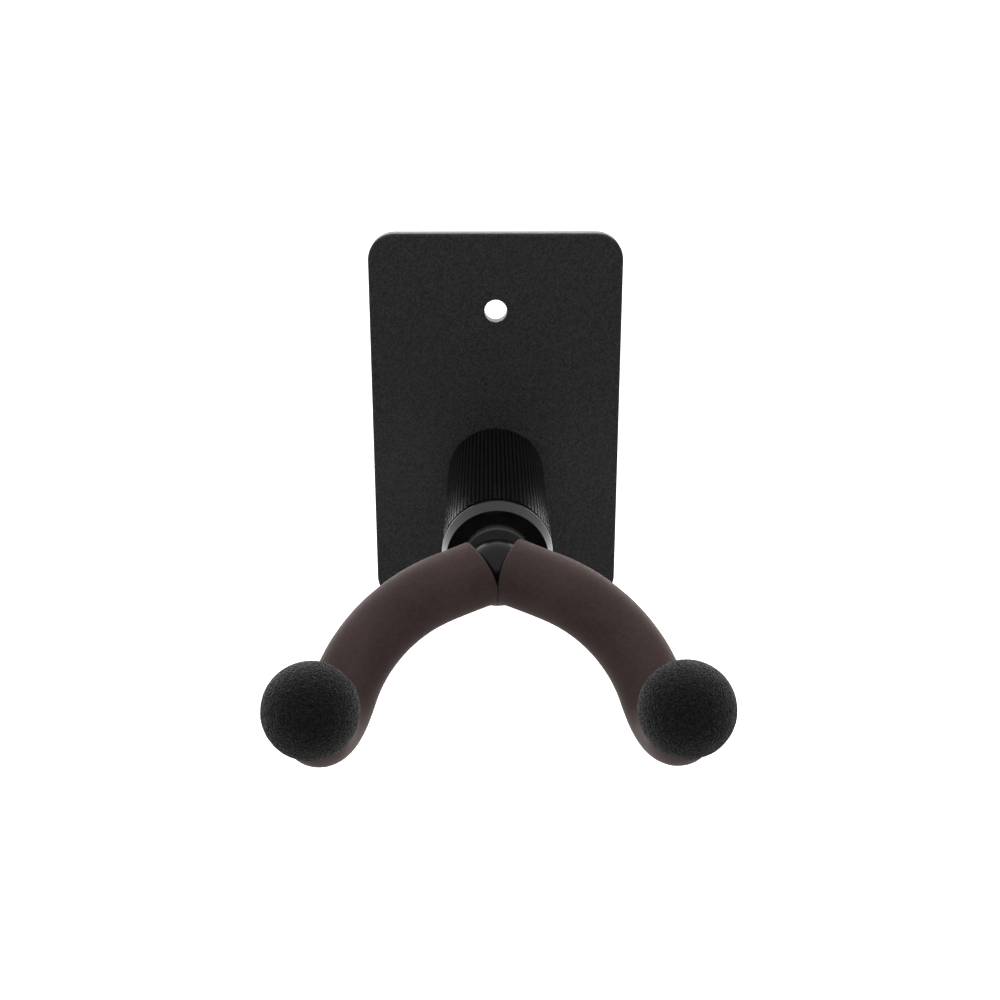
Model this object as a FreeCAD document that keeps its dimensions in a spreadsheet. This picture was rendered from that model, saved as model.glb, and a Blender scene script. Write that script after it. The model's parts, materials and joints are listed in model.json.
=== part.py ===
"""Wall guitar hanger: a wall plate with a ribbed barrel and a free-swivelling padded yoke.

Frame: +Z up, +X to the right, the wall at Y = 0 and the hanger standing out towards -Y.
The origin is the centre of the plate's back face.

Every sub-part is modelled in the "wall frame" and then turned into place: local X is to the
right, local Y is up and local Z points straight out of the wall. Pieces on the swivel axis
have their local origin where that axis meets the wall.
"""
import FreeCAD, Part

import math
import os

import Sketcher

from FreeCAD import Placement, Rotation, Vector

OUT_DIR = "parts"

# Driving dimensions in millimetres (counts and angles are plain numbers).
DIMENSIONS = {
    # wall plate
    "plate_width": 76.2,
    "plate_height": 118.0,
    "plate_thick": 4.8,
    "plate_corner": 8.0,
    "plate_round": 0.8,
    "wall_hole_dia": 6.8,
    "wall_hole_offset": 35.8,
    "axis_drop": 15.7,
    # ribbed barrel
    "barrel_dia": 29.6,
    "barrel_length": 65.3,
    "barrel_bore": 18.0,
    "rear_pocket_dia": 17.2,
    "rear_pocket_depth": 12.0,
    "bearing_dia": 14.0,
    "rear_bearing_length": 14.0,
    "front_bearing_length": 16.0,
    "rib_count": 76,
    "rib_depth": 0.45,
    "rib_gap": 0.84,
    # front trim
    "collar_dia": 28.9,
    "collar_length": 1.2,
    "bezel_dia": 29.7,
    "bezel_length": 5.1,
    "bezel_band": 1.0,
    "bezel_rear_round": 0.25,
    "bezel_front_round": 0.6,
    "bezel_lip": 0.3,
    "bezel_mouth_dia": 26.6,
    "bezel_socket_dia": 26.4,
    "flange_dia": 26.2,
    "flange_thick": 2.4,
    "bezel_web": 2.5,
    "bezel_bore": 12.0,
    # barrel screws
    "screw_circle_dia": 22.8,
    "screw_count": 4,
    "screw_dia": 2.9,
    "screw_head_dia": 5.2,
    "screw_length": 14.0,
    "countersink_angle": 90.0,
    "screw_socket_dia": 2.0,
    "screw_socket_depth": 1.0,
    # swivel
    "shaft_dia": 9.5,
    "running_gap": 0.05,
    "end_float": 0.15,
    "thread_dia": 8.0,
    "thread_start": 13.9,
    "thread_chamfer": 0.8,
    "shaft_end": 2.4,
    "nut_flats": 13.0,
    "nut_height": 6.4,
    "nut_collar_dia": 11.6,
    "nut_collar_height": 1.9,
    "insert_dia": 9.8,
    "insert_height": 1.4,
    "disc_spring_dia": 15.2,
    "disc_spring_thick": 0.8,
    "disc_spring_rise": 0.5,
    "rear_washer_dia": 15.6,
    "rear_washer_thick": 1.2,
    "rear_flange_thick": 1.6,
    "flange_clearance": 0.2,
    "washer_clearance": 0.1,
    "spring_clearance": 0.15,
    "thrust_washer_dia": 18.2,
    "thrust_washer_thick": 2.3,
    "thrust_washer_round": 0.7,
    "neck_dia": 12.0,
    "neck_length": 4.05,
    "head_dia": 16.6,
    "head_band": 2.4,
    "head_round": 1.8,
    # yoke: the bent path of one arm, measured from the middle of the head
    "hub_forward": 86.4,
    "hub_rise": 2.0,
    "shoulder_side": 33.6,
    "shoulder_drop": 12.05,
    "shoulder_radius": 38.0,
    "elbow_side": 43.5,
    "elbow_ahead": 24.2,
    "elbow_drop": 37.15,
    "elbow_radius": 13.0,
    "ball_side": 44.3,
    "ball_ahead": 40.2,
    "ball_drop": 17.95,
    "rod_dia": 7.9,
    "rod_start": 2.2,
    "rod_past_ball": 3.5,
    "foam_dia": 17.5,
    "foam_seam": 0.3,
    "foam_vee_angle": 28.0,
    "foam_vee_low": 0.2,
    "ball_dia": 23.5,
    "ball_seat": 8.2,
}

SHEET = "dims"
SAME = 1e-4           # millimetres within which two places count as the same
ALONG_AXIS = 0.99     # share of a direction along local Z from which an edge counts as upright
SWEEP_SLACK = 0.01    # share of its ideal volume that a swept bar may differ by
UPRIGHT = Rotation(Vector(1, 0, 0), 90)   # local Z (out of the wall) becomes -Y

doc = FreeCAD.newDocument("wall_guitar_hanger")
sub_parts = []


# ---------------------------------------------------------------- spreadsheet and expressions

def make_sheet():
    """Write the driving dimensions into a spreadsheet, one alias per row."""
    table = doc.addObject("Spreadsheet::Sheet", SHEET)
    for row, (alias, value) in enumerate(DIMENSIONS.items(), start=1):
        table.set(f"A{row}", alias)
        table.set(f"B{row}", str(value))
        table.setAlias(f"B{row}", alias)
    doc.recompute()
    return table


sheet = make_sheet()


def value_of(name):
    """A driving dimension as a number."""
    return float(sheet.get(name))


def bound(text):
    """Turn the plain names in an expression into references to the spreadsheet."""
    words = []
    for word in text.split():
        words.append(f"{SHEET}.{word}" if word in DIMENSIONS else word)
    return " ".join(words)


def number(text):
    """The present value of such an expression."""
    return float(sheet.evalExpression(bound(text)))


# ---------------------------------------------------------------- bodies and sketches

def new_body(name, on_axis=True):
    """A body in the wall frame, standing on the swivel axis or on the plate's centre."""
    body = doc.addObject("PartDesign::Body", name)
    body.Label = name
    height = -value_of("axis_drop") if on_axis else 0.0
    body.Placement = Placement(Vector(0, 0, height), UPRIGHT)
    sub_parts.append(body)
    return body


def new_sketch(body, name, plane="XY_Plane", offset="0"):
    """A sketch on one of the body's own origin planes, moved along its normal by offset."""
    sketch = body.newObject("Sketcher::SketchObject", name)
    origin_planes = [item for item in body.Origin.OriginFeatures if item.Role == plane]
    sketch.AttachmentSupport = [(origin_planes[0], "")]
    sketch.MapMode = "FlatFace"
    if offset != "0":
        sketch.setExpression("AttachmentOffset.Base.z", bound(offset))
    return sketch


def hold_point(sketch, geometry, end, where):
    """Fix one end of a sketch edge at a pair of expressions."""
    for kind, axis, text in (("DistanceX", -2, where[0]), ("DistanceY", -1, where[1])):
        if text == "0":
            sketch.addConstraint(Sketcher.Constraint("PointOnObject", geometry, end, axis))
            continue
        rule = Sketcher.Constraint(kind, -1, 1, geometry, end, number(text))
        index = sketch.addConstraint(rule)
        sketch.setExpression(f"Constraints[{index}]", bound(text))


def add_polygon(sketch, corners):
    """A closed outline through corners given as pairs of expressions."""
    points = [Vector(number(across), number(along), 0) for across, along in corners]
    count = len(points)
    edges = []
    for index, point in enumerate(points):
        edges.append(sketch.addGeometry(Part.LineSegment(point, points[(index + 1) % count])))
    for index, edge in enumerate(edges):
        following = edges[(index + 1) % count]
        sketch.addConstraint(Sketcher.Constraint("Coincident", edge, 2, following, 1))
        hold_point(sketch, edge, 1, corners[index])


def add_circle(sketch, centre, diameter):
    """A circle with its centre and diameter given as expressions."""
    middle = Vector(number(centre[0]), number(centre[1]), 0)
    radius = number(diameter) / 2
    circle = sketch.addGeometry(Part.Circle(middle, Vector(0, 0, 1), radius))
    hold_point(sketch, circle, 3, centre)
    rule = sketch.addConstraint(Sketcher.Constraint("Diameter", circle, 2 * radius))
    sketch.setExpression(f"Constraints[{rule}]", bound(diameter))


def pad(body, name, sketch, length):
    """Extrude a sketch along its normal."""
    feature = body.newObject("PartDesign::Pad", name)
    feature.Profile = sketch
    feature.setExpression("Length", bound(length))
    doc.recompute()
    return feature


def pocket(body, name, sketch, depth):
    """Cut a sketch on an XY plane outwards from the wall, and check that it cut something."""
    before = body.Shape.Volume
    feature = body.newObject("PartDesign::Pocket", name)
    feature.Profile = sketch
    feature.Reversed = True
    feature.setExpression("Length", bound(depth))
    doc.recompute()
    if body.Shape.Volume >= before:
        raise RuntimeError(f"{body.Label}: {name} cut nothing")
    return feature


def turned_body(name, profile):
    """A piece turned on the swivel axis, from a half profile of (radius, distance) pairs."""
    body = new_body(name)
    sketch = new_sketch(body, f"{name}_profile", "XZ_Plane")
    add_polygon(sketch, profile)
    turning = body.newObject("PartDesign::Revolution", f"{name}_turning")
    turning.Profile = sketch
    turning.ReferenceAxis = (sketch, ["V_Axis"])
    turning.Angle = 360
    doc.recompute()
    return body


def polar_pattern(body, name, feature, count):
    """Repeat a cut round the swivel axis."""
    before = body.Shape.Volume
    pattern = body.newObject("PartDesign::PolarPattern", name)
    pattern.Originals = [feature]
    axes = [item for item in body.Origin.OriginFeatures if item.Role == "Z_Axis"]
    pattern.Axis = (axes[0], [""])
    pattern.Angle = 360
    pattern.setExpression("Occurrences", bound(count))
    body.Tip = pattern
    doc.recompute()
    if body.Shape.Volume >= before:
        raise RuntimeError(f"{body.Label}: {name} cut nothing")
    return pattern


def ring_edges(feature, radius, distance):
    """Names of the full-circle edges of a feature at this radius and distance from the wall."""
    names = []
    for index, edge in enumerate(feature.Shape.Edges, start=1):
        if not isinstance(edge.Curve, Part.Circle):
            continue
        middle = edge.Curve.Center
        on_axis = math.hypot(middle.x, middle.y) < SAME
        if on_axis and abs(middle.z - distance) < SAME and abs(edge.Curve.Radius - radius) < SAME:
            names.append(f"Edge{index}")
    return names


def dress(body, kind, name, edges, size_property, size):
    """Round or chamfer edges of the body's last feature."""
    if not edges:
        raise RuntimeError(f"{body.Label}: {name} found no edge")
    base = body.Tip
    feature = body.newObject(f"PartDesign::{kind}", name)
    feature.Base = (base, edges)
    feature.setExpression(size_property, bound(size))
    body.Tip = feature
    doc.recompute()
    return feature


# ---------------------------------------------------------------- the fixed pieces

def make_back_plate():
    """The moulded wall plate: rounded corners, two wall screw holes and the barrel's holes."""
    body = new_body("back_plate", on_axis=False)
    outline = new_sketch(body, "plate_outline")
    half_width = "plate_width / 2"
    half_height = "plate_height / 2"
    add_polygon(outline, [
        (f"- {half_width}", f"- {half_height}"),
        (half_width, f"- {half_height}"),
        (half_width, half_height),
        (f"- {half_width}", half_height),
    ])
    slab = pad(body, "plate_slab", outline, "plate_thick")
    upright = []
    for index, edge in enumerate(slab.Shape.Edges, start=1):
        if abs(edge.tangentAt(edge.FirstParameter).z) > ALONG_AXIS:
            upright.append(f"Edge{index}")
    rounded = dress(body, "Fillet", "plate_corners", upright, "Radius", "plate_corner")
    front = []
    for index, edge in enumerate(rounded.Shape.Edges, start=1):
        if abs(edge.CenterOfMass.z - value_of("plate_thick")) < SAME:
            front.append(f"Edge{index}")
    dress(body, "Fillet", "plate_front_edge", front, "Radius", "plate_round")
    holes = new_sketch(body, "wall_holes")
    add_circle(holes, ("0", "wall_hole_offset"), "wall_hole_dia")
    add_circle(holes, ("0", "- wall_hole_offset"), "wall_hole_dia")
    pocket(body, "wall_hole_cuts", holes, "plate_thick")
    access = new_sketch(body, "nut_access")
    add_circle(access, ("0", "- axis_drop"), "rear_pocket_dia")
    pocket(body, "nut_access_cut", access, "plate_thick")
    doc.recompute()
    for index in range(int(value_of("screw_count"))):
        turn = f"( {index} + 0.5 ) * 360 deg / screw_count"
        across = f"screw_circle_dia / 2 * cos( {turn} )"
        along = f"screw_circle_dia / 2 * sin( {turn} ) - axis_drop"
        place = new_sketch(body, f"barrel_screw_place_{index + 1}")
        add_circle(place, (across, along), "screw_dia")
        drilled = body.newObject("PartDesign::Hole", f"barrel_screw_hole_{index + 1}")
        drilled.Profile = place
        doc.recompute()
        drilled.Threaded = False
        drilled.ThreadType = "None"
        drilled.DepthType = "ThroughAll"
        drilled.HoleCutType = "Countersink"
        drilled.setExpression("Diameter", bound("screw_dia"))
        drilled.setExpression("HoleCutDiameter", bound("screw_head_dia"))
        drilled.HoleCutCountersinkAngle = value_of("countersink_angle")
        drilled.Reversed = True
        doc.recompute()


def make_barrel():
    """The ribbed barrel: fine ribs outside, bearing seats inside, screw holes in its rear."""
    front = "( plate_thick + barrel_length )"
    rear_shelf = "( plate_thick + rear_pocket_depth )"
    seat_end = "( plate_thick + rear_pocket_depth + rear_bearing_length )"
    nose_seat = "( plate_thick + barrel_length - front_bearing_length )"
    body = turned_body("barrel", [
        ("rear_pocket_dia / 2", "plate_thick"),
        ("barrel_dia / 2", "plate_thick"),
        ("barrel_dia / 2", front),
        ("bearing_dia / 2", front),
        ("bearing_dia / 2", nose_seat),
        ("barrel_bore / 2", nose_seat),
        ("barrel_bore / 2", seat_end),
        ("bearing_dia / 2", seat_end),
        ("bearing_dia / 2", rear_shelf),
        ("rear_pocket_dia / 2", rear_shelf),
    ])
    notch = new_sketch(body, "rib_notch", offset="plate_thick")
    add_polygon(notch, [
        ("- rib_gap / 2", "barrel_dia / 2 + rib_depth"),
        ("0", "barrel_dia / 2 - rib_depth"),
        ("rib_gap / 2", "barrel_dia / 2 + rib_depth"),
    ])
    first = pocket(body, "rib_cut", notch, "barrel_length")
    polar_pattern(body, "rib_cuts", first, "rib_count")
    place = new_sketch(body, "screw_place", offset="plate_thick")
    turn = "180 deg / screw_count"
    middle = (f"screw_circle_dia / 2 * cos( {turn} )", f"screw_circle_dia / 2 * sin( {turn} )")
    add_circle(place, middle, "screw_dia")
    hole = pocket(body, "screw_hole", place, "screw_length - plate_thick")
    polar_pattern(body, "screw_holes", hole, "screw_count")


def make_barrel_screws():
    """Four flat-head screws that pull the barrel onto the plate, as one group of solids."""
    head = value_of("screw_head_dia") / 2
    shank = value_of("screw_dia") / 2
    length = value_of("screw_length")
    circle = value_of("screw_circle_dia") / 2
    count = int(value_of("screw_count"))
    pitch = 2 * math.pi / count
    socket = Part.makeCylinder(value_of("screw_socket_dia") / 2, value_of("screw_socket_depth"))
    screw = Part.makeCone(head, shank, head - shank).fuse(Part.makeCylinder(shank, length))
    screw = screw.cut(socket).removeSplitter()
    solids = []
    for index in range(count):
        angle = pitch * index + pitch / 2
        copy = screw.copy()
        copy.translate(Vector(circle * math.cos(angle), circle * math.sin(angle), 0))
        solids.append(copy)
    add_feature("barrel_screws", Part.makeCompound(solids))


def make_front_trim():
    """The recessed collar and the glossy, coned bezel at the barrel's front end."""
    barrel_front = "( plate_thick + barrel_length )"
    collar_front = "( plate_thick + barrel_length + collar_length )"
    bezel_front = "( plate_thick + barrel_length + collar_length + bezel_length )"
    flange_front = f"( {barrel_front} + flange_thick )"
    turned_body("collar_ring", [
        ("flange_dia / 2", barrel_front),
        ("collar_dia / 2", barrel_front),
        ("collar_dia / 2", collar_front),
        ("flange_dia / 2", collar_front),
    ])
    web_front = f"( {flange_front} + bezel_web )"
    band_end = f"( {collar_front} + bezel_band )"
    bezel = turned_body("bezel_ring", [
        ("bezel_bore / 2", flange_front),
        ("bezel_socket_dia / 2", flange_front),
        ("bezel_socket_dia / 2", collar_front),
        ("bezel_dia / 2", collar_front),
        ("bezel_dia / 2", band_end),
        ("bezel_mouth_dia / 2 + bezel_lip", bezel_front),
        ("bezel_mouth_dia / 2", bezel_front),
        ("bezel_mouth_dia / 2", web_front),
        ("bezel_bore / 2", web_front),
    ])
    rear = ring_edges(bezel.Tip, number("bezel_dia / 2"), number(collar_front))
    dress(bezel, "Fillet", "bezel_rear_edge", rear, "Radius", "bezel_rear_round")
    front = ring_edges(bezel.Tip, number("bezel_dia / 2"), number(band_end))
    dress(bezel, "Fillet", "bezel_front_edge", front, "Radius", "bezel_front_round")


# ---------------------------------------------------------------- the swivel's bearings

def make_bearings():
    """Nylon bushes at both ends of the barrel, and the thrust washer ahead of the bezel."""
    bore = "( shaft_dia / 2 + running_gap )"
    rear_shelf = "( plate_thick + rear_pocket_depth )"
    rear_end = "( plate_thick + rear_pocket_depth + rear_bearing_length )"
    flange_back = f"( {rear_shelf} - rear_flange_thick )"
    flange_rim = "rear_pocket_dia / 2 - flange_clearance"
    turned_body("rear_bush", [
        (bore, flange_back),
        (flange_rim, flange_back),
        (flange_rim, rear_shelf),
        ("bearing_dia / 2", rear_shelf),
        ("bearing_dia / 2", rear_end),
        (bore, rear_end),
    ])
    front = "( plate_thick + barrel_length )"
    front_start = "( plate_thick + barrel_length - front_bearing_length )"
    turned_body("front_bush", [
        (bore, front_start),
        ("bearing_dia / 2", front_start),
        ("bearing_dia / 2", front),
        ("flange_dia / 2", front),
        ("flange_dia / 2", f"( {front} + flange_thick )"),
        (bore, f"( {front} + flange_thick )"),
    ])
    washer_back = f"( {front} + flange_thick + bezel_web )"
    washer_front = f"( {front} + flange_thick + bezel_web + thrust_washer_thick )"
    washer = turned_body("thrust_washer", [
        (bore, washer_back),
        ("thrust_washer_dia / 2", washer_back),
        ("thrust_washer_dia / 2", washer_front),
        (bore, washer_front),
    ])
    rim = ring_edges(washer.Tip, number("thrust_washer_dia / 2"), number(washer_front))
    dress(washer, "Fillet", "washer_front_edge", rim, "Radius", "thrust_washer_round")


# ---------------------------------------------------------------- the turning pieces

def washer_front_distance():
    """Distance of the thrust washer's front face from the wall."""
    stack = ("plate_thick", "barrel_length", "flange_thick", "bezel_web", "thrust_washer_thick")
    return sum(value_of(name) for name in stack)


def yoke_points():
    """Corners of the bent path of the right arm, in the wall frame about the swivel axis."""
    forward = value_of("hub_forward")
    return [
        Vector(0, value_of("hub_rise"), forward),
        Vector(value_of("shoulder_side"), -value_of("shoulder_drop"), forward),
        Vector(value_of("elbow_side"), -value_of("elbow_drop"), forward + value_of("elbow_ahead")),
        Vector(value_of("ball_side"), -value_of("ball_drop"), forward + value_of("ball_ahead")),
    ]


def bent_path(points, radii):
    """Straight runs joined by tangent arcs, as a bent bar has them."""
    edges = []
    start = points[0]
    for corner, following, radius in zip(points[1:], points[2:], radii):
        before = (start - corner).normalize()
        after = (following - corner).normalize()
        half = before.getAngle(after) / 2
        tangent = radius / math.tan(half)
        inward = (before + after).normalize()
        entry = corner + before * tangent
        leave = corner + after * tangent
        middle = corner + inward * (radius / math.sin(half) - radius)
        edges.append(Part.LineSegment(start, entry).toShape())
        edges.append(Part.Arc(entry, middle, leave).toShape())
        start = leave
    edges.append(Part.LineSegment(start, points[-1]).toShape())
    return Part.Wire(edges)


def swept_bar(points, diameter):
    """A round bar along the bent path through points."""
    radii = [value_of("shoulder_radius"), value_of("elbow_radius")]
    path = bent_path(points, radii)
    direction = points[1] - points[0]
    ring = Part.Wire([Part.makeCircle(diameter / 2, points[0], direction)])
    bar = path.makePipeShell([ring], True, False)
    ideal = math.pi * diameter ** 2 / 4 * path.Length
    if abs(bar.Volume - ideal) > ideal * SWEEP_SLACK:
        raise RuntimeError("a swept bar lost its volume")
    return bar


def moved_ends(start_gap, end_gap):
    """The arm's corners with its ends moved in along the path by these gaps."""
    points = yoke_points()
    first = (points[1] - points[0]).normalize()
    last = (points[3] - points[2]).normalize()
    points[0] = points[0] + first * start_gap
    points[3] = points[3] - last * end_gap
    return points


def head_start():
    """Distance of the back of the shaft's head from the wall."""
    return washer_front_distance() + value_of("end_float") + value_of("neck_length")


def head_shape(grow=0.0):
    """The shaft's round head: a short band with a rounded rear edge and a domed front."""
    start = head_start() - grow
    radius = value_of("head_dia") / 2 + grow
    edge = value_of("head_round")
    middle = head_start() + value_of("head_band")
    inner = (1 - math.sqrt(0.5)) * edge
    half = math.sqrt(0.5) * radius
    back = Vector(radius - edge, 0, start)
    side = Vector(radius, 0, start + edge)
    equator = Vector(radius, 0, middle)
    apex = Vector(0, 0, middle + radius)
    outline = Part.Wire([
        Part.LineSegment(Vector(0, 0, start), back).toShape(),
        Part.Arc(back, Vector(radius - inner, 0, start + inner), side).toShape(),
        Part.LineSegment(side, equator).toShape(),
        Part.Arc(equator, Vector(half, 0, middle + half), apex).toShape(),
        Part.LineSegment(apex, Vector(0, 0, start)).toShape(),
    ])
    return Part.Face(outline).revolve(Vector(0, 0, 0), Vector(0, 0, 1), 360)


def neck_shape(grow=0.0):
    """The shaft's neck, between the thrust washer and the head."""
    shoulder = washer_front_distance() + value_of("end_float")
    radius = value_of("neck_dia") / 2 + grow
    return Part.makeCylinder(radius, value_of("neck_length"), Vector(0, 0, shoulder))


def foam_vee():
    """The wedge between the sleeves at the hub: a thin seam below, opening upwards to a V."""
    side = value_of("foam_seam") / 2
    low = -value_of("foam_vee_low")
    reach = 2 * value_of("foam_dia")
    spread = side + reach * math.tan(math.radians(value_of("foam_vee_angle")))
    corners = [
        (-side, -reach), (side, -reach), (side, low),
        (spread, low + reach), (-spread, low + reach), (-side, low), (-side, -reach),
    ]
    front = value_of("hub_forward") + value_of("foam_dia")
    outline = Part.makePolygon([Vector(across, up, 0) for across, up in corners])
    return Part.Face(outline).extrude(Vector(0, 0, front))


def mirrored(shape):
    """The left-hand twin of a right-hand shape."""
    return shape.mirror(Vector(0, 0, 0), Vector(1, 0, 0))


def add_feature(name, shape):
    """Put a finished shape on the swivel axis as a sub-part of its own."""
    feature = doc.addObject("Part::Feature", name)
    feature.Label = name
    feature.Shape = shape
    feature.Placement = Placement(Vector(0, 0, -value_of("axis_drop")), UPRIGHT)
    sub_parts.append(feature)


def make_shaft(rods):
    """The swivel shaft with its round head, drilled on both sides for the yoke rods."""
    shoulder = washer_front_distance() + value_of("end_float")
    shank = value_of("shaft_dia") / 2
    tail = value_of("shaft_end")
    step = value_of("thread_start")
    thread = Part.makeCylinder(value_of("thread_dia") / 2, step - tail, Vector(0, 0, tail))
    ends = [edge for edge in thread.Edges if abs(edge.CenterOfMass.z - tail) < SAME]
    thread = thread.makeChamfer(value_of("thread_chamfer"), ends[:1])
    stem = Part.makeCylinder(shank, shoulder - step, Vector(0, 0, step))
    shaft = thread.fuse([stem, neck_shape(), head_shape()])
    shaft = shaft.cut(rods).removeSplitter()
    add_feature("swivel_shaft", shaft)


def make_ball(points):
    """A round end ball with a flat seat for the sleeve and a blind hole for the rod."""
    centre = points[3]
    direction = (points[3] - points[2]).normalize()
    ball = Part.makeSphere(value_of("ball_dia") / 2, centre)
    seat = centre - direction * value_of("ball_seat")
    waste = Part.makeCylinder(value_of("ball_dia"), value_of("ball_dia"), seat, direction * -1)
    depth = value_of("ball_seat") + value_of("rod_past_ball")
    hole = Part.makeCylinder(value_of("rod_dia") / 2, depth, seat, direction)
    return ball.cut(waste).cut(hole)


def make_yoke():
    """Both bent rods, their foam sleeves, the end balls and the shaft that carries them."""
    rod = swept_bar(moved_ends(value_of("rod_start"), -value_of("rod_past_ball")),
                    value_of("rod_dia"))
    outside = swept_bar(moved_ends(0, value_of("ball_seat")), value_of("foam_dia"))
    core = swept_bar(moved_ends(0, 0), value_of("rod_dia"))
    gap = value_of("running_gap")
    sleeve = outside.cut([core, foam_vee(), neck_shape(gap), head_shape(gap)])
    sleeve = max(sleeve.Solids, key=lambda solid: solid.Volume)
    ball = make_ball(yoke_points())
    make_shaft([rod, mirrored(rod)])
    for name, right in (("yoke_rod", rod), ("foam_sleeve", sleeve), ("end_ball", ball)):
        add_feature(f"{name}_right", right)
        add_feature(f"{name}_left", mirrored(right))


def hexagon(flats, height, start):
    """A hexagonal prism about the swivel axis."""
    sides = 6
    corner = flats / math.sqrt(3)
    points = []
    for index in range(sides + 1):
        angle = 2 * math.pi * index / sides
        points.append(Vector(corner * math.cos(angle), corner * math.sin(angle), start))
    return Part.Face(Part.makePolygon(points)).extrude(Vector(0, 0, height))


def make_nut_stack():
    """The flat washer, disc spring and self-locking nut on the shaft's threaded end."""
    thread = value_of("thread_dia") / 2
    shank = value_of("shaft_dia") / 2
    flange_back = number("plate_thick + rear_pocket_depth - rear_flange_thick")
    washer_front = flange_back - value_of("end_float")
    washer_thick = value_of("rear_washer_thick")
    washer_back = washer_front - washer_thick
    washer_bore = shank + value_of("washer_clearance")
    washer_rim = value_of("rear_washer_dia") / 2
    turned_from_wall("rear_washer", [
        (washer_bore, washer_back), (washer_rim, washer_back),
        (washer_rim, washer_front), (washer_bore, washer_front),
    ])
    rise = value_of("disc_spring_rise")
    thick = value_of("disc_spring_thick")
    outer = value_of("disc_spring_dia") / 2
    inner = thread + value_of("spring_clearance")
    spring_back = washer_back - rise - thick
    turned_from_wall("disc_spring", [
        (inner, spring_back), (outer, spring_back + rise),
        (outer, spring_back + rise + thick), (inner, spring_back + thick),
    ])
    nut_front = spring_back
    height = value_of("nut_height")
    collar = value_of("nut_collar_height")
    nut = hexagon(value_of("nut_flats"), height, nut_front - height)
    crown = Part.makeCylinder(value_of("nut_collar_dia") / 2, collar,
                              Vector(0, 0, nut_front - height - collar))
    bore = Part.makeCylinder(thread, height + collar, Vector(0, 0, nut_front - height - collar))
    groove = Part.makeCylinder(value_of("insert_dia") / 2, value_of("insert_height"),
                               Vector(0, 0, nut_front - height - value_of("insert_height")))
    add_feature("lock_nut", nut.fuse(crown).cut(bore).cut(groove).removeSplitter())
    insert = groove.cut(bore)
    add_feature("lock_nut_insert", insert)


def turned_from_wall(name, outline):
    """A ring turned about the swivel axis from a closed (radius, distance) outline."""
    points = [Vector(radius, 0, distance) for radius, distance in outline]
    face = Part.Face(Part.makePolygon(points + points[:1]))
    add_feature(name, face.revolve(Vector(0, 0, 0), Vector(0, 0, 1), 360))


# ---------------------------------------------------------------- checks and files

def check_document():
    """Stop if any object failed or any sub-part is not a good set of solids."""
    doc.recompute()
    for item in doc.Objects:
        if {"Invalid", "Error"} & set(item.State):
            raise RuntimeError(f"{item.Label} failed: {item.State}")
    for item in sub_parts:
        shape = item.Shape
        if shape.isNull() or not shape.isValid() or not shape.Solids:
            raise RuntimeError(f"{item.Label} has no good shape")


def write_parts():
    """Write each sub-part to its own STEP file."""
    os.makedirs(OUT_DIR, exist_ok=True)
    for item in sub_parts:
        item.Shape.exportStep(os.path.join(OUT_DIR, f"{item.Label}.step"))
        box = item.Shape.optimalBoundingBox()
        print(f"{item.Label:18s} {len(item.Shape.Solids)} solid(s) {item.Shape.Volume:9.1f} mm3"
              f"  x {box.XMin:7.2f} {box.XMax:7.2f}  y {box.YMin:8.2f} {box.YMax:7.2f}"
              f"  z {box.ZMin:7.2f} {box.ZMax:7.2f}")


make_back_plate()
make_barrel()
make_barrel_screws()
make_front_trim()
make_bearings()
make_yoke()
make_nut_stack()
check_document()
write_parts()
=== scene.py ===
"""Looks of the wall guitar hanger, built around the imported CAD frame. Metres throughout.

The plate, barrel, trim and metal pieces are the CAD's own; the foam sleeves and the end balls
are modelled here, because they are soft. Everything that swings rides on the body "yoke".
"""
import json
import math

import bmesh
import bpy
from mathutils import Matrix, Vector, noise


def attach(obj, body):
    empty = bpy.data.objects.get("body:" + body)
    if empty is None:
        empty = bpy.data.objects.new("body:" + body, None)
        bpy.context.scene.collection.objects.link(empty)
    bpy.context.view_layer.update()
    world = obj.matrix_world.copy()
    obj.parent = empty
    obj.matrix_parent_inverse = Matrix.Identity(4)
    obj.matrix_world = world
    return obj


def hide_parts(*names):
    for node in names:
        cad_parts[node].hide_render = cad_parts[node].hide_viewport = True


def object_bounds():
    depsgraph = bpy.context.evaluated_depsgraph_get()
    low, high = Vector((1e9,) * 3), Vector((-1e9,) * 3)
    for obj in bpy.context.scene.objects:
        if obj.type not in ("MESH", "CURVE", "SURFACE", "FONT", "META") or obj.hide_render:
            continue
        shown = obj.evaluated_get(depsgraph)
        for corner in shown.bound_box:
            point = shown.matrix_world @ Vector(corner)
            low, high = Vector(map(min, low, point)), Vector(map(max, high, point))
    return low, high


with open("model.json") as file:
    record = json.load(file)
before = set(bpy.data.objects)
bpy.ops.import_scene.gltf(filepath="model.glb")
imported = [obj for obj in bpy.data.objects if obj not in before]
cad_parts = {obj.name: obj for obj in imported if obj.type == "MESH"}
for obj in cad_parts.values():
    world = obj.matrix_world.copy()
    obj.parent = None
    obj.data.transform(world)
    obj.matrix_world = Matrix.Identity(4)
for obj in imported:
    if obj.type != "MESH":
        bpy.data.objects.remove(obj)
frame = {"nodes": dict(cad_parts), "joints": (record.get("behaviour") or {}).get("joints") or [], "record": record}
cad_low, cad_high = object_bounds()

MM = 0.001
SIDES = {"left": -1, "right": 1}

# Camera: about 0.42 m out from the wall, looking down on the hanger through a normal lens.
CAMERA_PLACE = Vector((-2.3, -416.4, 121.6)) * MM
CAMERA_DOWN = math.radians(19.55)
CAMERA_TURN = math.radians(0.5)
CAMERA_LENS = 49.8

# Brightness of the room: the floor, the dim front, overhead, the backdrop and lamps behind it.
FLOOR_GLOW = 0.5
FRONT = 0.05
OVERHEAD = 0.75
BACKDROP = 1.0
BACK_LAMPS = 2.5

# The white floor lies this far below the hanger, and this far out on each side.
FLOOR_DROP = 0.25
FLOOR_REACH = 30.0

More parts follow.
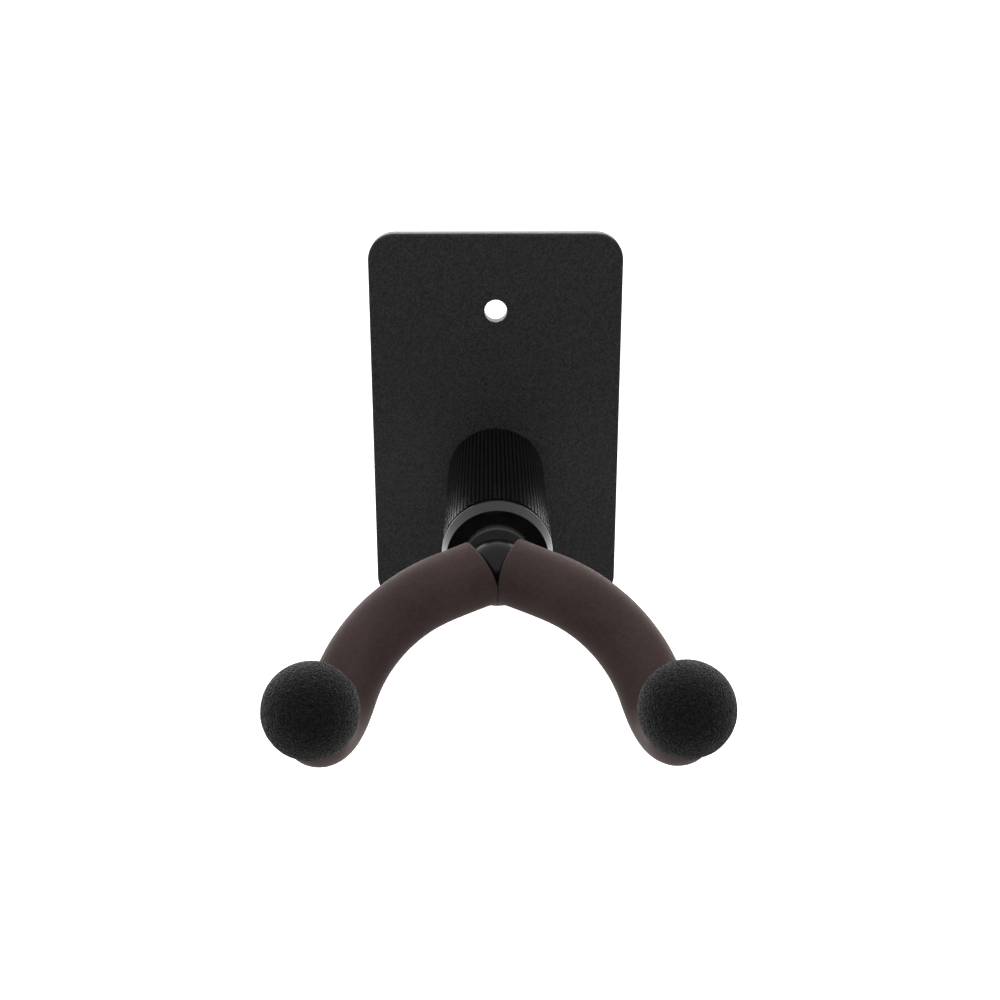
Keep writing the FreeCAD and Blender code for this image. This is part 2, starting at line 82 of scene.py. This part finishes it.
# The bent path of the right arm, as in the CAD: its corners, with x and z from the swivel axis
# and y from the wall, and the radii of its two bends.
AXIS_HEIGHT = frame["joints"][0]["pos_m"][2]
ARM_CORNERS = [Vector((x * MM, y * MM, AXIS_HEIGHT + z * MM)) for x, y, z in (
    (0, -86.4, 2.0), (33.6, -86.4, -12.05), (43.5, -110.6, -37.15), (44.3, -126.6, -17.95))]
ARM_RADII = (38.0 * MM, 13.0 * MM)

# The foam sleeves. A skin is made of rings of points: a rounded lip at the hub, evenly spaced
# rings from BODY_START on, a rounded lip at the ball, and evenly spaced rings back through the
# bore. The hub's lip is rounder on top, by HUB_LIP_EXTRA.
FOAM_RADIUS = 8.75 * MM
BORE_RADIUS = 3.95 * MM
RING_SPACING = 0.8 * MM
RING_POINTS = 96
LIP_RINGS = 6
HUB_LIP = 0.3 * MM
HUB_LIP_EXTRA = 0.7 * MM
BALL_LIP = 1.2 * MM
BODY_START = 3.0 * MM

# Where the sleeves meet at the hub: a seam that opens upwards to a V. The V's lowest line is at
# VEE_LOW in front and falls by VEE_LEAN towards the back. Each side opens by its VEE_SLOPE times
# the height above that line, plus VEE_FLARE times the height squared. The cut's effect on a
# sleeve fades out along HUB_RUN.
SEAM = 0.1 * MM
VEE_LOW = AXIS_HEIGHT - 0.3 * MM
VEE_SLOPE = {"left": 0.22, "right": 0.0}
VEE_FLARE = 0.028 / MM
VEE_LEAN = math.tan(math.radians(23))
VEE_ROUNDS = 12
HUB_RUN = 14.0 * MM

# Under the hub the foam bulges by SQUEEZE, because the two sleeves are pushed together. The
# bulge fades out along SQUEEZE_RUN, and a higher SQUEEZE_FOCUS keeps it nearer the underside.
SQUEEZE = 0.6 * MM
SQUEEZE_RUN = 2.2 * MM
SQUEEZE_FOCUS = 6

# The end balls. BALL_SEAT is the flat seat's distance from the centre. The surface is sunk by
# BALL_SINK, and its open cells are pits whose radius is CELL_EDGE times their spacing.
BALL_RADIUS = 11.75 * MM
BALL_SEAT = 8.2 * MM
BALL_SINK = 0.08 * MM
CELL_SPACING = 0.6 * MM
CELL_EDGE = 0.55
CELL_DEPTH = 0.34 * MM

# Faint lumps of the soft surfaces, as pairs of a size and a height.
FOAM_LUMPS = ((11.0 * MM, 0.1 * MM), (3.5 * MM, 0.035 * MM))
BALL_LUMPS = ((5.0 * MM, 0.07 * MM), (1.6 * MM, 0.035 * MM))


# ---------------------------------------------------------------- node helpers

def new_material(name):
    """A new material, with its node tree and its Principled shader."""
    material = bpy.data.materials.new(name)
    material.use_nodes = True
    tree = material.node_tree
    shader = tree.nodes["Principled BSDF"]
    return material, tree, shader


def texture_value(tree, kind, output, **settings):
    """One output of a texture that is fed with object coordinates."""
    coordinates = tree.nodes.new("ShaderNodeTexCoord")
    texture = tree.nodes.new(kind)
    for key, value in settings.items():
        if key in texture.inputs:
            texture.inputs[key].default_value = value
        else:
            setattr(texture, key, value)
    tree.links.new(coordinates.outputs["Object"], texture.inputs["Vector"])
    return texture.outputs[output]


def noise_value(tree, scale, detail, roughness):
    """A soft noise around 0.5."""
    return texture_value(tree, "ShaderNodeTexNoise", "Fac",
                         Scale=scale, Detail=detail, Roughness=roughness)


def cell_distance(tree, scale, feature="F1"):
    """The distance from the centres of a pattern of cells, or from their edges."""
    return texture_value(tree, "ShaderNodeTexVoronoi", "Distance", Scale=scale, feature=feature)


def combine(tree, operation, first, second):
    """Two values put together by a math node."""
    node = tree.nodes.new("ShaderNodeMath")
    node.operation = operation
    tree.links.new(first, node.inputs[0])
    tree.links.new(second, node.inputs[1])
    return node.outputs["Value"]


def mean_of(tree, first, second):
    """The mean of two values."""
    half = tree.nodes.new("ShaderNodeMath")
    half.operation = "MULTIPLY"
    tree.links.new(combine(tree, "ADD", first, second), half.inputs[0])
    half.inputs[1].default_value = 0.5
    return half.outputs["Value"]


def smooth_range(tree, value, low, high, start, end):
    """A smooth step from start to end as the value goes from low to high."""
    step = tree.nodes.new("ShaderNodeMapRange")
    step.interpolation_type = "SMOOTHSTEP"
    step.inputs["From Min"].default_value = low
    step.inputs["From Max"].default_value = high
    step.inputs["To Min"].default_value = start
    step.inputs["To Max"].default_value = end
    tree.links.new(value, step.inputs["Value"])
    return step.outputs["Result"]


def set_colour(tree, shader, value, dark, light, low=0.3, high=0.7):
    """Colours the shader from dark to light as the value goes from low to high."""
    ramp = tree.nodes.new("ShaderNodeValToRGB")
    ramp.color_ramp.elements[0].position = low
    ramp.color_ramp.elements[0].color = (*dark, 1)
    ramp.color_ramp.elements[1].position = high
    ramp.color_ramp.elements[1].color = (*light, 1)
    tree.links.new(value, ramp.inputs["Fac"])
    tree.links.new(ramp.outputs["Color"], shader.inputs["Base Color"])


def set_roughness(tree, shader, value, low, high):
    """Sets the shader's roughness between low and high, as the value goes from 0 to 1."""
    spread = tree.nodes.new("ShaderNodeMapRange")
    spread.inputs["To Min"].default_value = low
    spread.inputs["To Max"].default_value = high
    tree.links.new(value, spread.inputs["Value"])
    tree.links.new(spread.outputs["Result"], shader.inputs["Roughness"])


def set_bump(tree, shader, heights, distance, strength):
    """Chains bumps into the shader's normal. Each height has its own share of the distance."""
    previous = None
    for height, share in heights:
        bump = tree.nodes.new("ShaderNodeBump")
        bump.inputs["Distance"].default_value = distance * share
        bump.inputs["Strength"].default_value = strength
        tree.links.new(height, bump.inputs["Height"])
        if previous:
            tree.links.new(previous, bump.inputs["Normal"])
        previous = bump.outputs["Normal"]
    tree.links.new(previous, shader.inputs["Normal"])


# ---------------------------------------------------------------- materials

def leather_grain_plastic():
    """Charcoal moulded plastic with a fine leather-like grain."""
    material, tree, shader = new_material("grained_plastic")
    pebbles = cell_distance(tree, scale=1500.0, feature="DISTANCE_TO_EDGE")
    creases = noise_value(tree, scale=2400.0, detail=2.0, roughness=0.5)
    set_colour(tree, shader, creases, dark=(0.021, 0.0215, 0.0222), light=(0.064, 0.0645, 0.066),
               low=0.36, high=0.64)
    set_roughness(tree, shader, creases, low=0.38, high=0.58)
    shader.inputs["Specular IOR Level"].default_value = 0.4
    set_bump(tree, shader, [(creases, 1.0), (pebbles, 0.5)], distance=0.3 * MM, strength=1.0)
    return material


def ribbed_plastic():
    """Black satin plastic with faint flow marks."""
    material, tree, shader = new_material("ribbed_plastic")
    marks = noise_value(tree, scale=300.0, detail=5.0, roughness=0.65)
    set_colour(tree, shader, marks, dark=(0.0045, 0.0045, 0.0047), light=(0.0075, 0.0075, 0.0078))
    set_roughness(tree, shader, marks, low=0.16, high=0.26)
    shader.inputs["Specular IOR Level"].default_value = 0.3
    set_bump(tree, shader, [(marks, 1.0)], distance=0.004 * MM, strength=0.2)
    return material


def gloss_plastic():
    """Glossy black trim with a faint haze."""
    material, tree, shader = new_material("gloss_trim")
    haze = noise_value(tree, scale=900.0, detail=4.0, roughness=0.6)
    set_colour(tree, shader, haze, dark=(0.009, 0.009, 0.009), light=(0.013, 0.013, 0.013))
    set_roughness(tree, shader, haze, low=0.08, high=0.14)
    shader.inputs["Specular IOR Level"].default_value = 0.34
    set_bump(tree, shader, [(haze, 1.0)], distance=0.01 * MM, strength=0.3)
    return material


def plain_plastic(name, dark, light, roughness):
    """Moulded plastic or nylon in one tone, faintly mottled."""
    material, tree, shader = new_material(name)
    mottle = noise_value(tree, scale=500.0, detail=5.0, roughness=0.6)
    set_colour(tree, shader, mottle, dark, light)
    set_roughness(tree, shader, mottle, low=roughness - 0.06, high=roughness + 0.06)
    set_bump(tree, shader, [(mottle, 1.0)], distance=0.03 * MM, strength=0.4)
    return material


def metal(name, dark, light, roughness, metallic=1.0, specular=0.5):
    """Plated, drawn or painted steel with fine scratches."""
    material, tree, shader = new_material(name)
    scratches = noise_value(tree, scale=700.0, detail=8.0, roughness=0.7)
    set_colour(tree, shader, scratches, dark, light, low=0.35, high=0.65)
    set_roughness(tree, shader, scratches, low=roughness - 0.08, high=roughness + 0.08)
    shader.inputs["Metallic"].default_value = metallic
    shader.inputs["Specular IOR Level"].default_value = specular
    set_bump(tree, shader, [(scratches, 1.0)], distance=0.012 * MM, strength=0.4)
    return material


def brown_foam():
    """Closed-cell foam with a smooth brown skin: tiny cells, soft sheen at grazing angles."""
    material, tree, shader = new_material("brown_foam")
    clouds = noise_value(tree, scale=70.0, detail=4.0, roughness=0.55)
    cells = cell_distance(tree, scale=2600.0)
    skin = noise_value(tree, scale=900.0, detail=6.0, roughness=0.65)
    tone = mean_of(tree, clouds, skin)
    set_colour(tree, shader, tone, dark=(0.06, 0.036, 0.032), light=(0.091, 0.0575, 0.0515),
               low=0.38, high=0.62)
    set_roughness(tree, shader, skin, low=0.62, high=0.8)
    shader.inputs["Specular IOR Level"].default_value = 0.35
    shader.inputs["Sheen Weight"].default_value = 0.25
    shader.inputs["Sheen Roughness"].default_value = 0.45
    shader.inputs["Sheen Tint"].default_value = (0.8, 0.58, 0.54, 1)
    set_bump(tree, shader, [(skin, 1.0), (cells, 0.4)], distance=0.09 * MM, strength=0.7)
    return material


def cellular_rubber():
    """Black rubber foam with open cells that catch the light at the rim."""
    material, tree, shader = new_material("cellular_rubber")
    cells = cell_distance(tree, scale=2400.0)
    dust = noise_value(tree, scale=1400.0, detail=6.0, roughness=0.7)
    set_colour(tree, shader, dust, dark=(0.0, 0.0, 0.0), light=(0.018, 0.018, 0.018),
               low=0.44, high=0.6)
    set_roughness(tree, shader, dust, low=0.6, high=0.85)
    shader.inputs["Specular IOR Level"].default_value = 0.3
    shader.inputs["Sheen Weight"].default_value = 0.4
    shader.inputs["Sheen Roughness"].default_value = 0.22
    shader.inputs["Sheen Tint"].default_value = (0.85, 0.85, 0.85, 1)
    set_bump(tree, shader, [(cells, 1.0), (dust, 0.6)], distance=0.35 * MM, strength=1.0)
    return material


MATERIALS = {
    "plate_plastic": leather_grain_plastic(),
    "barrel_plastic": ribbed_plastic(),
    "gloss_trim": gloss_plastic(),
    "washer_plastic": plain_plastic("washer_plastic", (0.056,) * 3, (0.07,) * 3, 0.4),
    "nylon": plain_plastic("nylon", (0.03,) * 3, (0.045,) * 3, 0.5),
    "nylon_insert": plain_plastic("nylon_insert", (0.62, 0.63, 0.6), (0.72, 0.73, 0.7), 0.45),
    "black_steel": metal("black_steel", (0.003, 0.003, 0.0033), (0.006, 0.006, 0.0064), 0.22,
                         metallic=0.0, specular=0.33),
    "rod_steel": metal("rod_steel", (0.42, 0.42, 0.43), (0.52, 0.52, 0.53), 0.35),
    "zinc_steel": metal("zinc_steel", (0.55, 0.56, 0.58), (0.66, 0.67, 0.7), 0.32),
    "spring_steel": metal("spring_steel", (0.2, 0.21, 0.25), (0.28, 0.29, 0.33), 0.3),
    "brown_foam": brown_foam(),
    "ball_rubber": cellular_rubber(),
}


def finish_cad_nodes():
    """Gives every CAD node the material of its slot."""
    for part in frame["record"]["subparts"]:
        node = frame["nodes"][part["node"]]
        node.data.materials.clear()
        node.data.materials.append(MATERIALS[part["material_slot"]])


# ---------------------------------------------------------------- the arm's path

def run_points(start, end):
    """Evenly spaced points from start to end, without the first one."""
    count = max(1, round((end - start).length / RING_SPACING))
    return [start.lerp(end, index / count) for index in range(1, count + 1)]


def bend_points(start, corner, end, radius):
    """Evenly spaced points round the bend at a corner, from its first point to its last."""
    before = (start - corner).normalized()
    after = (end - corner).normalized()
    half = before.angle(after) / 2
    entry = corner + before * (radius / math.tan(half))
    leave = corner + after * (radius / math.tan(half))
    centre = corner + (before + after).normalized() * (radius / math.sin(half))
    spoke = entry - centre
    axis = spoke.cross(leave - centre).normalized()
    turn = math.pi - 2 * half
    count = round(radius * turn / RING_SPACING)
    points = [entry]
    for step in range(1, count + 1):
        angle = turn * step / count
        points.append(centre + spoke * math.cos(angle) + axis.cross(spoke) * math.sin(angle))
    return points


def arm_path(end_gap):
    """Evenly spaced points along the right arm, ending end_gap short of the ball's centre."""
    hub, first, second, ball = ARM_CORNERS
    end = ball - (ball - second).normalized() * end_gap
    first_bend = bend_points(hub, first, second, ARM_RADII[0])
    second_bend = bend_points(first, second, end, ARM_RADII[1])
    points = [hub]
    points += run_points(hub, first_bend[0]) + first_bend[1:]
    points += run_points(first_bend[-1], second_bend[0]) + second_bend[1:]
    points += run_points(second_bend[-1], end)
    return points


def path_frames(points):
    """A tangent, a forward side and an upward normal at each point, with no needless twist."""
    tangents = []
    for index in range(len(points)):
        before = points[max(index - 1, 0)]
        after = points[min(index + 1, len(points) - 1)]
        tangents.append((after - before).normalized())
    side = tangents[0].cross(Vector((0, 0, 1))).normalized()
    frames = []
    for tangent in tangents:
        side = (side - tangent * side.dot(tangent)).normalized()
        frames.append((tangent, side, side.cross(tangent)))
    return frames


# ---------------------------------------------------------------- soft pieces

def object_from(mesh_data, name):
    """Makes a linked, smooth-shaded object from a bmesh."""
    mesh = bpy.data.meshes.new(name)
    mesh_data.to_mesh(mesh)
    mesh_data.free()
    mesh.polygons.foreach_set("use_smooth", [True] * len(mesh.polygons))
    piece = bpy.data.objects.new(name, mesh)
    bpy.context.collection.objects.link(piece)
    return piece


def skin_from(rings, name):
    """Joins closed rings of points, in order and back to the first, into one closed skin."""
    skin = bmesh.new()
    rows = [[skin.verts.new(point) for point in ring] for ring in rings]
    count = len(rows[0])
    for one, two in zip(rows, rows[1:] + rows[:1]):
        for index in range(count):
            after = (index + 1) % count
            skin.faces.new((one[index], one[after], two[after], two[index]))
    bmesh.ops.recalc_face_normals(skin, faces=skin.faces)
    return object_from(skin, name)


def smooth(value):
    """A smooth step from 0 to 1."""
    value = min(max(value, 0.0), 1.0)
    return value * value * (3 - 2 * value)


def lump_height(point, lumps):
    """Height of a soft surface's faint lumps at a point."""
    return sum(noise.noise(point / size) * height for size, height in lumps)


def hub_start(offset, slope):
    """How far along the first run a line beside the path begins, so that it starts on the V.

    The V is wider higher up and the run slopes, so each round corrects the start at the height
    that the last one gave.
    """
    along = (ARM_CORNERS[1] - ARM_CORNERS[0]).normalized()
    start = ARM_CORNERS[0] + offset
    lean = (offset.y + FOAM_RADIUS) * VEE_LEAN
    begin = 0.0
    for _ in range(VEE_ROUNDS):
        above = max(0.0, start.z + along.z * begin + lean - VEE_LOW)
        edge = SEAM + above * slope + above * above * VEE_FLARE
        begin = (edge - start.x) / along.x
    return begin


def hub_lip(up):
    """Radius of the rounding at the sleeve's hub end: crisp in front, pushed round on top."""
    return HUB_LIP + HUB_LIP_EXTRA * max(0.0, up) ** 3


def lip_place(lip, step):
    """How far a ring of a rounded lip lies from the sleeve's end, and its radius."""
    turn = math.radians(90) * step / LIP_RINGS
    return lip * (1 - math.sin(turn)), FOAM_RADIUS - lip * (1 - math.cos(turn))


def make_sleeve(side):
    """One foam sleeve: cut in a V at the hub, bulging a little where it is pushed together."""
    points = arm_path(BALL_SEAT)
    frames = path_frames(points)
    reach = (len(points) - 1) * RING_SPACING

    def place(along, radius, angle):
        """A point of the skin, from its distance along the path, its radius and its angle."""
        index = min(max(along / RING_SPACING, 0.0), len(points) - 1.0)
        low = min(int(index), len(points) - 2)
        middle = points[low].lerp(points[low + 1], index - low)
        tangent, across, upward = frames[low]
        outward = across * math.cos(angle) + upward * math.sin(angle)
        offset = outward * radius
        if along < HUB_RUN:
            begin = hub_start(offset, VEE_SLOPE[side])
            middle = middle + tangent * (begin * (1 - along / HUB_RUN))
        point = middle + offset
        if radius > BORE_RADIUS:
            under = max(0.0, -math.sin(angle)) ** SQUEEZE_FOCUS * smooth(1 - along / SQUEEZE_RUN)
            point += outward * (lump_height(point, FOAM_LUMPS) + under * SQUEEZE)
        return Vector((point.x * SIDES[side], point.y, point.z))

    angles = [2 * math.pi * index / RING_POINTS for index in range(RING_POINTS)]
    rings = []
    # The lip at the hub, from the bore outwards.
    for step in range(LIP_RINGS, -1, -1):
        ring = []
        for angle in angles:
            along, radius = lip_place(hub_lip(math.sin(angle)), step)
            ring.append(place(along, radius, angle))
        rings.append(ring)
    # The body.
    for step in range(math.floor((reach - BALL_LIP - BODY_START) / RING_SPACING)):
        along = BODY_START + step * RING_SPACING
        rings.append([place(along, FOAM_RADIUS, angle) for angle in angles])
    # The lip at the ball.
    for step in range(LIP_RINGS + 1):
        short, radius = lip_place(BALL_LIP, step)
        rings.append([place(reach - short, radius, angle) for angle in angles])
    # Back through the bore.
    for step in range(round(reach / RING_SPACING), -1, -1):
        rings.append([place(step * RING_SPACING, BORE_RADIUS, angle) for angle in angles])

    piece = skin_from(rings, f"foam_sleeve_{side}_skin")
    piece.data.materials.append(MATERIALS["brown_foam"])
    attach(piece, "yoke")
    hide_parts(f"foam_sleeve_{side}")
    return piece


def cell_pits(point):
    """Depth of the open cells at a point of the ball's surface, from 0 to 1."""
    nearest = noise.voronoi(point / CELL_SPACING)[0][0]
    return max(0.0, 1 - nearest / CELL_EDGE) ** 2


def make_ball(side):
    """One round end ball of cellular rubber, with a flat seat where the sleeve meets it."""
    centre = ARM_CORNERS[3]
    direction = (ARM_CORNERS[3] - ARM_CORNERS[2]).normalized()
    ball = bmesh.new()
    bmesh.ops.create_icosphere(ball, subdivisions=7, radius=1.0)
    for vertex in ball.verts:
        outward = vertex.co.normalized()
        surface = centre + outward * BALL_RADIUS
        rise = lump_height(surface, BALL_LUMPS) - BALL_SINK - CELL_DEPTH * cell_pits(surface)
        offset = outward * (BALL_RADIUS + rise)
        back = -offset.dot(direction)
        if back > BALL_SEAT:
            offset *= BALL_SEAT / back
        point = centre + offset
        vertex.co = Vector((point.x * SIDES[side], point.y, point.z))
    bmesh.ops.recalc_face_normals(ball, faces=ball.faces)
    piece = object_from(ball, f"end_ball_{side}_skin")
    piece.data.materials.append(MATERIALS["ball_rubber"])
    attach(piece, "yoke")
    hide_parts(f"end_ball_{side}")
    return piece


# ---------------------------------------------------------------- camera, floor and light

def make_camera():
    """The viewing angle of the reference: slightly left of centre and looking down."""
    data = bpy.data.cameras.new("camera")
    data.lens = CAMERA_LENS
    data.sensor_width = 36.0
    data.clip_start = 0.01
    camera = bpy.data.objects.new("camera", data)
    camera.location = CAMERA_PLACE
    camera.rotation_euler = (math.radians(90) - CAMERA_DOWN, 0, -CAMERA_TURN)
    bpy.context.collection.objects.link(camera)
    bpy.context.scene.camera = camera


def make_floor():
    """A plain white floor well below the hanger, seen by the camera but not by the hanger."""
    floor = bmesh.new()
    bmesh.ops.create_grid(floor, x_segments=1, y_segments=1, size=FLOOR_REACH)
    plane = object_from(floor, "floor")
    plane.location.z = cad_low[2] - FLOOR_DROP
    material, _, shader = new_material("pale_floor")
    shader.inputs["Base Color"].default_value = (0.9, 0.9, 0.9, 1)
    shader.inputs["Roughness"].default_value = 0.9
    shader.inputs["Emission Color"].default_value = (1, 1, 1, 1)
    shader.inputs["Emission Strength"].default_value = 1.0
    plane.data.materials.append(material)
    plane.visible_diffuse = False
    plane.visible_glossy = False


def make_light():
    """A bright backdrop behind the hanger and a soft overhead light in a dim room before it."""
    world = bpy.data.worlds.new("studio")
    bpy.context.scene.world = world
    world.use_nodes = True
    tree = world.node_tree
    background = tree.nodes["Background"]
    background.inputs["Color"].default_value = (1, 1, 1, 1)
    direction = tree.nodes.new("ShaderNodeTexCoord")
    split = tree.nodes.new("ShaderNodeSeparateXYZ")
    tree.links.new(direction.outputs["Generated"], split.inputs["Vector"])
    up = split.outputs["Z"]
    behind = split.outputs["Y"]
    overhead = smooth_range(tree, up, low=0.28, high=0.36, start=FRONT, end=OVERHEAD)
    ground = smooth_range(tree, up, low=-0.5, high=-0.25, start=FLOOR_GLOW, end=0.0)
    backdrop = smooth_range(tree, behind, low=0.2, high=0.6, start=0.0, end=BACKDROP)
    lamps = smooth_range(tree, behind, low=0.65, high=0.9, start=0.0, end=BACK_LAMPS)
    room = combine(tree, "MAXIMUM", overhead, ground)
    room = combine(tree, "MAXIMUM", room, backdrop)
    room = combine(tree, "ADD", room, lamps)
    seen = tree.nodes.new("ShaderNodeLightPath")
    shown = combine(tree, "MAXIMUM", room, seen.outputs["Is Camera Ray"])
    tree.links.new(shown, background.inputs["Strength"])


make_camera()
make_floor()
make_light()
finish_cad_nodes()
for side_name in SIDES:
    make_sleeve(side_name)
    make_ball(side_name)

bpy.context.scene.view_settings.view_transform = "Standard"
